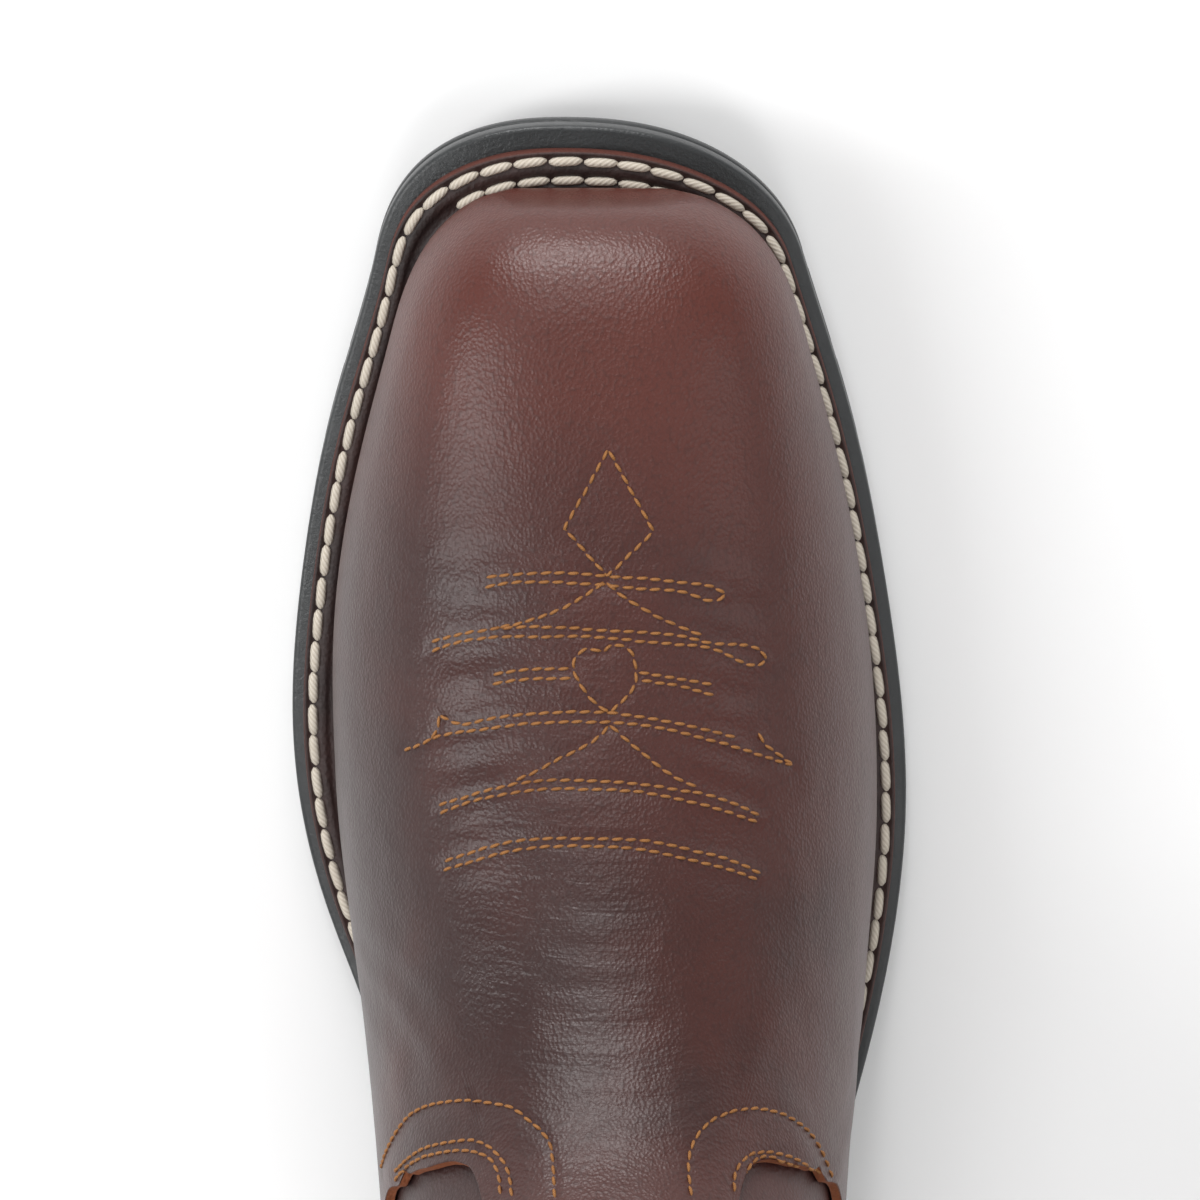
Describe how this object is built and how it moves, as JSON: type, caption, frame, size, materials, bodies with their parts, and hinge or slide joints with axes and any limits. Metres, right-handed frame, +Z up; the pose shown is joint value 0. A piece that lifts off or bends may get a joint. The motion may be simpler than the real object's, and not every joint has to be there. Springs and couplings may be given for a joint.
{
  "type": "western work boot",
  "caption": "Pull-on western work boot with a broad square toe, stitched welt, block heel and a shaft with pull straps; right foot.",
  "frame": {"origin": "middle of the heel's ground face, on the ground", "axes": "+Z up, the toe points along -Y, the inner side of the foot is +X"},
  "size_m": [0.1176, 0.313, 0.3221],
  "materials": {
    "outsole_rubber": "charcoal moulded rubber",
    "heel_stack": "dark stained stacked heel",
    "top_lift_rubber": "black rubber",
    "welt_leather": "dark brown edge-dressed leather",
    "insole_board": "tan leather board",
    "upper_leather": "oiled red-brown leather",
    "vamp_leather": "oiled red-brown pebbled leather",
    "trim_leather": "dark red-brown leather"
  },
  "bodies": {
    "root": {"outsole": "outsole_rubber", "heel_block": "heel_stack", "top_lift": "top_lift_rubber", "welt": "welt_leather", "insole": "insole_board", "upper": "upper_leather", "vamp": "vamp_leather", "counter": "vamp_leather", "side_seam_inner": "trim_leather", "side_seam_outer": "trim_leather", "collar_binding": "trim_leather", "pull_strap_inner": "trim_leather", "pull_strap_outer": "trim_leather"}
  },
  "joints": []
}
